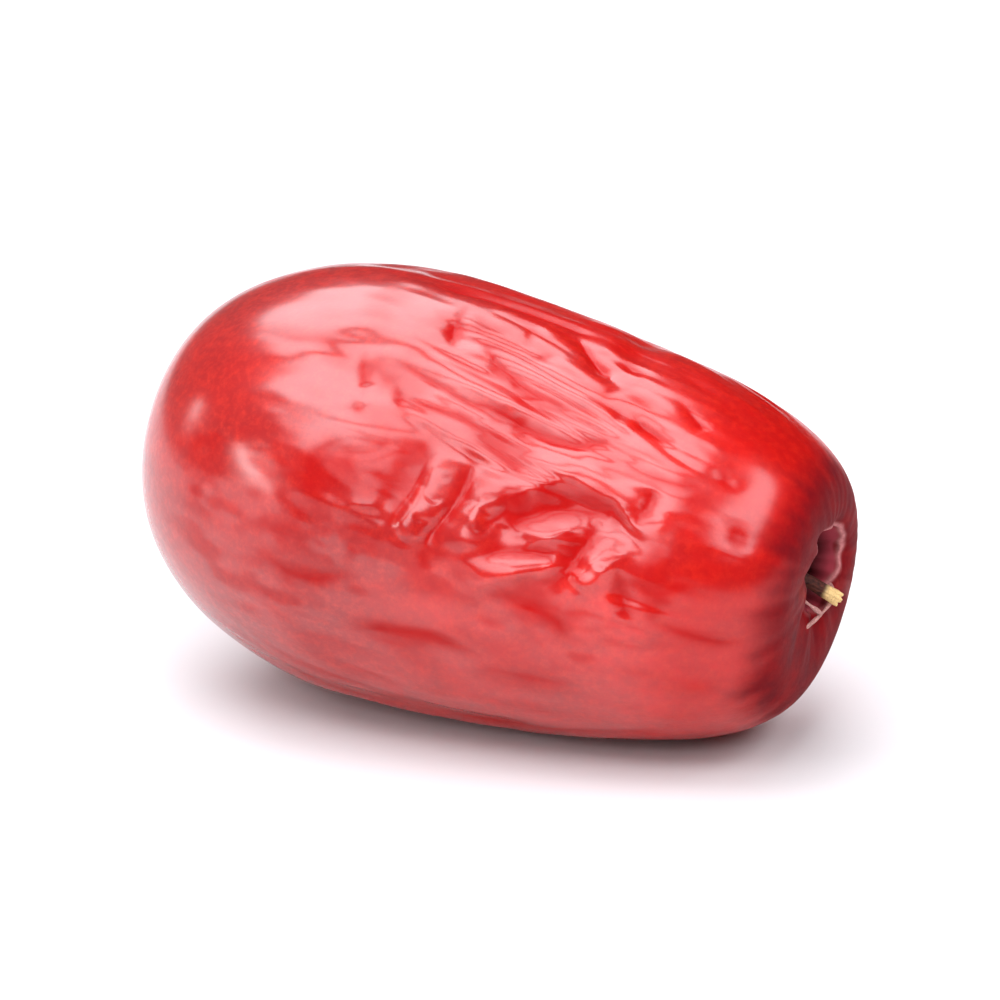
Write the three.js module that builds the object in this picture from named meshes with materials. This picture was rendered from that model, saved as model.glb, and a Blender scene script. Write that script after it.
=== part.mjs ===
// A dried jujube: one plump fruit with a wrinkled skin, lying on its side, and the stub of its
// stalk left in the cavity at its stem end.
// Millimetres, +Z up. +X runs along the fruit towards the stem end, which is the slimmer and lower
// one, and the fruit rests on z = 0 below the middle of its box.

import * as THREE from "three";

// The fruit's outline, as distances from the blossom end along its own axis and radii about it
const FRUIT_LENGTH = 48;
const BELLY_RADIUS = 15;
const BELLY_AT = 17.6;
const TIP_FULLNESS = 12.4;
const BELLY_RUN_TO_TIP = 4.7;
const BELLY_RUN_TO_STEM = 5.8;
const SHOULDER_FULLNESS = 13.5;
const CREST_RADIUS = 6;

// The dimple that the flower left at the blossom end
const DIMPLE_RADIUS = 2.2;
const DIMPLE_DEPTH = 0.7;
const DIMPLE_FLOOR_RADIUS = 0.66;
const DIMPLE_EDGE_RADIUS = 1.1;

// The cavity that the stalk grew from. It lies off the fruit's axis, with a flat rim round it, and is
// steepest at the middle of its wall.
const CAVITY_DEPTH = 3.8;
const CAVITY_ASIDE = 1.2;
const CAVITY_RISE = 1.2;
const RIM_RADIUS = 3.4;
const RIM_SHARE = 0.4;
const WALL_AT = 1.9;
const WALL_RUN = 1.1;
const WALL_RADIUS = 2.6;
const WALL_LEAN = 0.25;
const FLOOR_RADIUS = 1.7;
const CAVITY_PLEATS = 7;
const PLEAT_HEIGHT = 0.2;

// The stub of the stalk, which stands on the cavity's floor and leans down and out over the rim
const STUB_LENGTH = 4.1;
const STUB_ROOT_RADIUS = 0.45;
const STUB_NECK_RADIUS = 0.4;
const STUB_NECK_AT = 1.8;
const STUB_TIP_RADIUS = 0.5;
const STUB_TIP_AT = 3.8;
const STUB_ASIDE = 1;
const STUB_RISE = 0.8;
const STUB_LEAN_ASIDE = THREE.MathUtils.degToRad(14);
const STUB_LEAN_DOWN = THREE.MathUtils.degToRad(20);
const STUB_GAP = 0.5;
const STUB_SIDES = 10;

// How the fruit lies: its slim end is the lower one, and its own weight presses a flat spot under it
const REST_PITCH = THREE.MathUtils.degToRad(6.5);
const PRESSED_FLAT = 0.3;

// The surface is a net of rings round the axis and sides along it
const RINGS = 62;
const SIDES = 92;

// The cross-section is a little wider than high, with three very soft lobes
const OVAL = 0.22;
const LOBES = 3;
const LOBE_HEIGHT = 0.16;
const LOBE_TURN = THREE.MathUtils.degToRad(35);

// Folds in the skin. Each is a groove from one place to another, given as the distance from the
// blossom end and the degrees round from the top, first towards -Y.
const DEEPEST = 0.68;
const DEEP = 0.34;
const SHALLOW = 0.22;
const FURROW = 1.35;
const CREASE = 1.1;
const HOLLOW = 2.4;
const FOLDS = [
  // Long furrows down the upper side, which draw together towards the stem end
  { from: [18, -6], to: [29, -5], depth: DEEP, halfWidth: CREASE },
  { from: [29, 4], to: [33, 16], depth: DEEP, halfWidth: CREASE },
  { from: [22, 21], to: [33, 34], depth: SHALLOW, halfWidth: FURROW },
  { from: [21, 41], to: [29.5, 42], depth: SHALLOW, halfWidth: FURROW },
  { from: [29.5, 42], to: [35, 40], depth: DEEP, halfWidth: FURROW },
  { from: [24, 49], to: [30, 54], depth: SHALLOW, halfWidth: FURROW },
  { from: [35, 28], to: [40, 33], depth: SHALLOW, halfWidth: CREASE },
  // Short creases across the flank
  { from: [27, 57], to: [25, 80], depth: DEEP, halfWidth: CREASE },
  { from: [23.5, 60], to: [22, 77], depth: SHALLOW, halfWidth: CREASE },
  // The crumpled patch where the furrows meet the creases
  { from: [30, 70], to: [34, 59.5], depth: DEEP, halfWidth: CREASE },
  { from: [34, 59.5], to: [39, 66], depth: DEEP, halfWidth: CREASE },
  { from: [36.5, 65], to: [35, 80], depth: DEEP, halfWidth: CREASE },
  { from: [29, 75], to: [33, 75], depth: SHALLOW, halfWidth: CREASE },
  { from: [30, 89], to: [39, 80], depth: SHALLOW, halfWidth: CREASE },
  // Long shallow furrows low on the flank
  { from: [27, 92], to: [35, 105], depth: SHALLOW, halfWidth: CREASE },
  { from: [17, 113], to: [28, 116], depth: SHALLOW, halfWidth: FURROW },
  { from: [37, 101], to: [45, 98], depth: SHALLOW, halfWidth: CREASE },
  // A broad hollow where the flesh has shrunk
  { from: [17, 40], to: [20.5, 45], depth: SHALLOW, halfWidth: HOLLOW },
];

// The far side and the underside carry the same kind of furrows and creases, drawn by this rule
const FAR_SIDE = { first: 135, last: 352, furrows: 14, creases: 16 };
const FURROW_START = [12, 22];
const FURROW_RUN = [10, 18];
const FURROW_DRIFT = [-6, 6];
const FURROW_STRAY = [0.3, 0.7];
const CREASE_START = [14, 36];
const CREASE_DRIFT = [-4, 4];
const CREASE_TURN = [8, 18];
const SEED = 7;

// A small seeded generator of numbers from 0 to 1
function seededRandom(seed) {
  let state = seed;
  return () => {
    state = (state + 0x6d2b79f5) | 0;
    let mixed = Math.imul(state ^ (state >>> 15), 1 | state);
    mixed = (mixed + Math.imul(mixed ^ (mixed >>> 7), 61 | mixed)) ^ mixed;
    return ((mixed ^ (mixed >>> 14)) >>> 0) / 4294967296;
  };
}

function farSideFolds() {
  const random = seededRandom(SEED);
  const between = ([low, high]) => low + (high - low) * random();
  const around = [FAR_SIDE.first, FAR_SIDE.last];
  const step = (FAR_SIDE.last - FAR_SIDE.first) / FAR_SIDE.furrows;
  const folds = [];
  for (let i = 0; i < FAR_SIDE.furrows; i++) {
    const round = FAR_SIDE.first + step * (i + between(FURROW_STRAY));
    const start = between(FURROW_START);
    folds.push({
      from: [start, round],
      to: [start + between(FURROW_RUN), round + between(FURROW_DRIFT)],
      depth: between([SHALLOW, DEEP]),
      halfWidth: FURROW,
    });
  }
  for (let i = 0; i < FAR_SIDE.creases; i++) {
    const round = between(around);
    const start = between(CREASE_START);
    folds.push({
      from: [start, round],
      to: [start + between(CREASE_DRIFT), round + between(CREASE_TURN)],
      depth: between([SHALLOW, DEEP]),
      halfWidth: CREASE,
    });
  }
  return folds;
}

// The fruit's half outline, from the middle of the dimple, over the belly and the crest round the
// cavity, to the middle of the cavity's floor. x is along the axis and y is the radius.
function halfOutline() {
  const floorAt = FRUIT_LENGTH - CAVITY_DEPTH;
  const wallAt = FRUIT_LENGTH - WALL_AT;
  const path = new THREE.Path();
  path.moveTo(DIMPLE_DEPTH, 0);
  path.bezierCurveTo(DIMPLE_DEPTH, DIMPLE_FLOOR_RADIUS, 0, DIMPLE_EDGE_RADIUS, 0, DIMPLE_RADIUS);
  path.bezierCurveTo(
    0,
    TIP_FULLNESS,
    BELLY_AT - BELLY_RUN_TO_TIP,
    BELLY_RADIUS,
    BELLY_AT,
    BELLY_RADIUS,
  );
  path.bezierCurveTo(
    BELLY_AT + BELLY_RUN_TO_STEM,
    BELLY_RADIUS,
    FRUIT_LENGTH,
    SHOULDER_FULLNESS,
    FRUIT_LENGTH,
    CREST_RADIUS,
  );
  path.bezierCurveTo(
    FRUIT_LENGTH,
    RIM_RADIUS,
    wallAt + WALL_RUN,
    WALL_RADIUS + WALL_LEAN * WALL_RUN,
    wallAt,
    WALL_RADIUS,
  );
  path.bezierCurveTo(
    wallAt - WALL_RUN,
    WALL_RADIUS - WALL_LEAN * WALL_RUN,
    floorAt,
    FLOOR_RADIUS,
    floorAt,
    0,
  );
  return path.getSpacedPoints(RINGS);
}

// How deep a place on the skin lies in a fold: the groove is round in section and fades at its ends
function grooveDepth(fold, along, round) {
  const [fromAlong, fromRound] = fold.from;
  const [toAlong, toRound] = fold.to;
  const arc = THREE.MathUtils.degToRad(1) * BELLY_RADIUS;
  const around = THREE.MathUtils.euclideanModulo(round - fromRound + 180, 360) - 180;
  const place = new THREE.Vector2(along - fromAlong, around * arc);
  const course = new THREE.Vector2(toAlong - fromAlong, (toRound - fromRound) * arc);
  const share = THREE.MathUtils.clamp(place.dot(course) / course.lengthSq(), 0, 1);
  const away = place.distanceTo(course.multiplyScalar(share)) / fold.halfWidth;
  return fold.depth * Math.exp(-away * away);
}

// The height of the skin over the plain turned outline. cavityShare runs from 0 at the crest to 1 at
// the middle of the cavity's floor.
function relief(folds, along, angle, cavityShare) {
  if (cavityShare > 0) {
    return PLEAT_HEIGHT * Math.sin(Math.PI * cavityShare) * Math.cos(CAVITY_PLEATS * angle);
  }
  const round = THREE.MathUtils.radToDeg(angle);
  const fade = Math.sin((Math.PI * along) / FRUIT_LENGTH);
  const lobes = LOBE_HEIGHT * Math.cos(LOBES * (angle - LOBE_TURN)) - OVAL * Math.cos(2 * angle);
  const grooves = folds.reduce((sum, fold) => sum + grooveDepth(fold, along, round), 0);
  return fade * lobes - Math.min(grooves, DEEPEST);
}

// Lifts what would lie below the surface that the fruit rests on, so the underside has a flat spot
function pressFlat(points) {
  const up = new THREE.Vector3(-Math.sin(REST_PITCH), 0, Math.cos(REST_PITCH));
  const lowest = Math.min(...points.map((point) => point.dot(up)));
  for (const point of points) {
    const below = lowest + PRESSED_FLAT - point.dot(up);
    if (below > 0) {
      point.addScaledVector(up, below);
    }
  }
}

function fruitGeometry() {
  const folds = [...FOLDS, ...farSideFolds()];
  const outline = halfOutline();
  const alongs = outline.map((point) => point.x);
  const crest = alongs.indexOf(Math.max(...alongs));
  const points = [new THREE.Vector3(outline[0].x, 0, 0)];
  for (let ring = 1; ring < RINGS; ring++) {
    const tangent = outline[ring + 1].clone().sub(outline[ring - 1]).normalize();
    const cavityShare = Math.max(0, (ring - crest) / (RINGS - crest));
    const offAxis = THREE.MathUtils.smoothstep(cavityShare, 0, RIM_SHARE);
    for (let side = 0; side < SIDES; side++) {
      const angle = (2 * Math.PI * side) / SIDES;
      const height = relief(folds, outline[ring].x, angle, cavityShare);
      const along = outline[ring].x - tangent.y * height;
      const radius = outline[ring].y + tangent.x * height;
      const across = offAxis * CAVITY_ASIDE - radius * Math.sin(angle);
      const up = offAxis * CAVITY_RISE + radius * Math.cos(angle);
      points.push(new THREE.Vector3(along, across, up));
    }
  }
  points.push(new THREE.Vector3(outline[RINGS].x, CAVITY_ASIDE, CAVITY_RISE));
  pressFlat(points);

  const at = (ring, side) => 1 + (ring - 1) * SIDES + (side % SIDES);
  const last = points.length - 1;
  const faces = [];
  for (let side = 0; side < SIDES; side++) {
    faces.push(0, at(1, side + 1), at(1, side));
    for (let ring = 1; ring < RINGS - 1; ring++) {
      const corners = [at(ring, side), at(ring, side + 1), at(ring + 1, side + 1), at(ring + 1, side)];
      faces.push(corners[0], corners[1], corners[2], corners[0], corners[2], corners[3]);
    }
    faces.push(last, at(RINGS - 1, side), at(RINGS - 1, side + 1));
  }
  return new THREE.BufferGeometry().setFromPoints(points).setIndex(faces);
}

// The stub is turned about its own Y axis, with a waist and a broken, slightly swollen tip
function stubGeometry() {
  const outline = [
    new THREE.Vector2(0, 0),
    new THREE.Vector2(STUB_ROOT_RADIUS, 0),
    new THREE.Vector2(STUB_NECK_RADIUS, STUB_NECK_AT),
    new THREE.Vector2(STUB_TIP_RADIUS, STUB_TIP_AT),
    new THREE.Vector2(0, STUB_LENGTH),
  ];
  return new THREE.LatheGeometry(outline, STUB_SIDES);
}

const skin = new THREE.MeshStandardMaterial({ color: 0xa81e1a, roughness: 0.35, metalness: 0 });
const stalk = new THREE.MeshStandardMaterial({ color: 0xd9b67e, roughness: 0.75, metalness: 0 });

const fruit = new THREE.Mesh(fruitGeometry(), skin);
fruit.name = "fruit";

const stub = new THREE.Mesh(stubGeometry(), stalk);
stub.name = "stalk_stub";
stub.position.set(FRUIT_LENGTH - CAVITY_DEPTH + STUB_GAP, STUB_ASIDE, STUB_RISE);
const stubCourse = new THREE.Vector3(1, Math.tan(STUB_LEAN_ASIDE), -Math.tan(STUB_LEAN_DOWN));
stub.quaternion.setFromUnitVectors(new THREE.Vector3(0, 1, 0), stubCourse.normalize());

const lying = new THREE.Group();
lying.rotation.y = REST_PITCH;
lying.add(fruit, stub);
const box = new THREE.Box3().setFromObject(lying, true);
const middle = box.getCenter(new THREE.Vector3());
lying.position.set(-middle.x, -middle.y, -box.min.z);

const jujube = new THREE.Group();
jujube.add(lying);

export default jujube;
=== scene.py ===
import math

import bpy
import numpy as np
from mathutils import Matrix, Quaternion, Vector


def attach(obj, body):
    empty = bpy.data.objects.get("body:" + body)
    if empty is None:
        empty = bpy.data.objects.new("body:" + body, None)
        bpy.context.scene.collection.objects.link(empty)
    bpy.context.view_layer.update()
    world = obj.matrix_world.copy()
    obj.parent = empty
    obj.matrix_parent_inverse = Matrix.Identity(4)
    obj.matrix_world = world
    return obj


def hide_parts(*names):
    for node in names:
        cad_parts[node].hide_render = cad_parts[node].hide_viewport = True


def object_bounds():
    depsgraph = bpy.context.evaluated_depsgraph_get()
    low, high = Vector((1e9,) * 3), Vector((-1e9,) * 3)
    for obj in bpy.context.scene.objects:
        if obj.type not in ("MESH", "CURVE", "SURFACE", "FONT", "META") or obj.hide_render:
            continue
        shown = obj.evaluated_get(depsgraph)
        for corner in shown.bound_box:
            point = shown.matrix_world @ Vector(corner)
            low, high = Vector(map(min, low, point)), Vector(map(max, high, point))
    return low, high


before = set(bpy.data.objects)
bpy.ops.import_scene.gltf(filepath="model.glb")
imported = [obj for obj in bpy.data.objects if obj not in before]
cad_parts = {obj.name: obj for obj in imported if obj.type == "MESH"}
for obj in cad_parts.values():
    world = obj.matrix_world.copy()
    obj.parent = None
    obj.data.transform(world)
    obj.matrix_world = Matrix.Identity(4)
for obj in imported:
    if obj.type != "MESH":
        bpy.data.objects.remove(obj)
cad_low, cad_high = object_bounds()

# The fruit: skin and flesh grown as one body, red and glossy, lying on its side. It has shrunk in
# drying, so its skin lies in furrows, creases and one crumpled patch. It is one closed mesh, a finer
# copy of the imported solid, with places on it given in millimetres along it and degrees round it.
MM = 0.001
FRUIT_LENGTH = 48.0
BELLY_RADIUS = 15.0
DIMPLE_DEPTH = 0.7
REST_PITCH = math.radians(6.5)
axis = Vector((math.cos(REST_PITCH), 0, -math.sin(REST_PITCH)))
side = Vector((0, 1, 0))
top = axis.cross(side)

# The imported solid's own net, as rings of points from the blossom end's pole to the cavity's
bpy.ops.object.select_all(action="DESELECT")
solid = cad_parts["fruit"]
solid.select_set(True)
bpy.context.view_layer.objects.active = solid
bpy.ops.object.duplicate()
coarse = bpy.context.active_object
bpy.ops.object.mode_set(mode="EDIT")
bpy.ops.mesh.select_all(action="SELECT")
bpy.ops.mesh.remove_doubles(threshold=1e-6)
bpy.ops.object.mode_set(mode="OBJECT")


def vertex_values(mesh, name):
    """The points of a mesh, or the normals there, a row for each."""
    values = np.zeros(3 * len(mesh.vertices))
    mesh.vertices.foreach_get(name, values)
    return values.reshape(-1, 3)


points = vertex_values(coarse.data, "co")
joined = [set() for _ in points]
for edge in coarse.data.edges:
    first, second = edge.vertices
    joined[first].add(second)
    joined[second].add(first)
bpy.ops.object.delete()
poles = sorted(range(len(points)), key=lambda i: len(joined[i]))[-2:]
blossom_pole = min(poles, key=lambda i: points[i][0])
blossom_end = Vector(points[blossom_pole]) - axis * DIMPLE_DEPTH * MM
rings = [[blossom_pole]]
reached = {blossom_pole}
while len(reached) < len(points):
    ring = list({j for i in rings[-1] for j in joined[i]} - reached)
    reached.update(ring)
    out = points[ring] - points[ring].mean(axis=0)
    half_step = math.pi / max(len(ring), 1)
    around = (np.arctan2(-(out @ np.array(side)), out @ np.array(top)) + half_step) % (2 * math.pi)
    rings.append([ring[i] for i in np.argsort(around)])
sides = len(rings[1])
grid = np.array([points[ring if len(ring) == sides else ring * sides] for ring in rings])


def fruit_places(points):
    """Millimetres along the fruit, across it and up from its axis."""
    out = (points - np.array(blossom_end)) / MM
    return out @ np.array(axis), out @ np.array(side), out @ np.array(top)


def spread(places, gaps):
    """Places from the first to the last, as far apart as the gaps given at each of them."""
    count = np.concatenate([[0], np.cumsum(np.diff(places) * 2 / (gaps[1:] + gaps[:-1]))])
    return np.interp(np.linspace(0, count[-1], int(count[-1]) + 1), count, places)


def spline(place):
    """The four points that a place on a smooth net lies between, and the weight of each."""
    first = np.floor(place).astype(int)
    t = place - first
    weights = [(1 - t) ** 3, 3 * t ** 3 - 6 * t ** 2 + 4, -3 * t ** 3 + 3 * t ** 2 + 3 * t + 1, t ** 3]
    return first[None] + np.arange(-1, 3)[:, None], np.stack(weights) / 6


# A finer net on the same form, closest where the skin is most creased and at the cavity's lip. The
# gaps between its rings and sides are millimetres and degrees.
LIP_RADIUS = 3.3
LIP_REACH = 0.7
LIP_GAP = 0.09
CAVITY_GAP = 0.2
RING_GAPS = ([0, 12, 18, 40, 44], [0.42, 0.42, 0.2, 0.2, 0.32])
CREASED_TURN = 42
SIDE_GAPS = ([56, 76], [0.55, 1.5])
ring_along, ring_across, ring_up = fruit_places(grid)
ring_along, ring_radius = ring_along.mean(axis=1), np.hypot(ring_across, ring_up).mean(axis=1)
crest = ring_along.argmax()
walked = np.concatenate([[0], np.cumsum(np.hypot(np.diff(ring_along), np.diff(ring_radius)))])
steps = np.linspace(0, walked[-1], 2000)
gaps = np.interp(np.interp(steps, walked, ring_along), *RING_GAPS)
gaps[steps > walked[crest]] = CAVITY_GAP
lip_step = np.interp(LIP_RADIUS, ring_radius[crest:][::-1], walked[crest:][::-1])
gaps[np.abs(steps - lip_step) < LIP_REACH] = LIP_GAP
fine_rings = np.interp(spread(steps, gaps), walked, np.arange(len(rings)))
turns = np.linspace(0, 360, 1441)
side_gaps = np.interp(np.abs((turns - CREASED_TURN + 180) % 360 - 180), *SIDE_GAPS)
fine_sides = spread(turns, side_gaps)[:-1] * sides / 360

past_first, past_last = (np.roll(grid[row], sides // 2, axis=0)[None] for row in (1, -2))
padded = np.concatenate([past_first, grid, past_last, past_last])
ring_points, ring_weights = spline(fine_rings)
side_points, side_weights = spline(fine_sides)
skin_net = np.einsum("ar,arjk->rjk", ring_weights, padded[ring_points + 1])
skin_net = np.einsum("bs,rbsk->rsk", side_weights, skin_net[:, side_points % sides])
skin_net[0], skin_net[-1] = skin_net[0].mean(axis=0), skin_net[-1].mean(axis=0)


def closed_net(name, net):
    """A closed smooth mesh on rows of points, of which the first and the last are one point each."""
    rows, columns = net.shape[0] - 1, net.shape[1]
    bpy.ops.object.select_all(action="DESELECT")
    bpy.ops.mesh.primitive_grid_add(x_subdivisions=columns, y_subdivisions=rows, size=2)
    made = bpy.context.active_object
    made.name = name
    flat = vertex_values(made.data, "co")
    column = np.rint((flat[:, 0] + 1) / 2 * columns).astype(int) % columns
    row = np.rint((flat[:, 1] + 1) / 2 * rows).astype(int)
    made.data.vertices.foreach_set("co", net[row, column].ravel())
    bpy.ops.object.mode_set(mode="EDIT")
    bpy.ops.mesh.select_all(action="SELECT")
    bpy.ops.mesh.remove_doubles(threshold=1e-7)
    bpy.ops.mesh.normals_make_consistent(inside=False)
    bpy.ops.object.mode_set(mode="OBJECT")
    bpy.ops.object.shade_smooth()
    return made


fruit = closed_net("jujube_fruit", skin_net)

# The skin is worked out unrolled, on a net of places along the fruit and round it
NET = (384, 768)
ARC = math.radians(BELLY_RADIUS)
along_step = FRUIT_LENGTH / NET[0]
round_step = 2 * math.pi * BELLY_RADIUS / NET[1]
net_along, net_round = np.meshgrid(
    (np.arange(NET[0]) + 0.5) * along_step,
    np.arange(NET[1]) * 360 / NET[1],
    indexing="ij",
)
wave_along = 2 * math.pi * np.fft.fftfreq(NET[0], along_step)[:, None]
wave_round = 2 * math.pi * np.fft.rfftfreq(NET[1], round_step)[None, :]


def round_from(turn):
    """Degrees round the fruit from a turn, -180 to 180."""
    return (net_round - turn + 180) % 360 - 180


def ease(values, low, high):
    """0 below the first value, 1 above the second, and smooth between them."""
    share = np.clip((values - low) / (high - low), 0, 1)
    return share * share * (3 - 2 * share)


def within(values, start, full, fading, end):
    """1 from full to fading, and smoothly down to 0 at the start and the end."""
    return ease(values, start, full) * (1 - ease(values, fading, end))


def cloudy(seed, size_along, size_round, slant=0.0):
    """Soft noise with clouds of about that size in millimetres, spread evenly about 0. They
    drift round the fruit by slant for each millimetre along it."""
    slanted = wave_along + slant * wave_round
    softness = 0.08
    fade = np.exp(-softness * ((slanted * size_along) ** 2 + (wave_round * size_round) ** 2))
    noise = np.random.default_rng(seed).standard_normal(NET)
    noise = np.fft.irfft2(np.fft.rfft2(noise) * fade, s=NET)
    return noise / noise.std()


def fold(course, widths, flat=0.0):
    """How deep the skin lies in a fold with round shoulders and a sharp floor, or one flat for a share
    of its width, and how far it is in the fold's own shade. The course gives the depth at each place,
    and the two sides have each their own half width."""
    steepness = 1.3
    rounding, rounding_root = 0.12, 0.346
    shaded_from = 0.13
    nearest = np.zeros(NET)
    deep = np.zeros(NET)
    for (along, turn, depth), (next_along, next_turn, next_depth) in zip(course, course[1:]):
        from_along, from_round = net_along - along, round_from(turn) * ARC
        step_along, step_round = next_along - along, (next_turn - turn) * ARC
        run = math.hypot(step_along, step_round)
        share = np.clip((from_along * step_along + from_round * step_round) / run ** 2, 0, 1)
        below = step_along * from_round > step_round * from_along
        away = np.hypot(from_along - share * step_along, from_round - share * step_round)
        away = np.maximum(away / np.where(below, widths[1], widths[0]) - flat, 0)
        near = np.exp(-steepness * (np.sqrt(away ** 2 + rounding) - rounding_root))
        deep = np.where(near > nearest, near * (depth + (next_depth - depth) * share), deep)
        nearest = np.maximum(near, nearest)
    return deep, nearest ** 2 * np.clip(deep / shaded_from, 0, 1)


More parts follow.
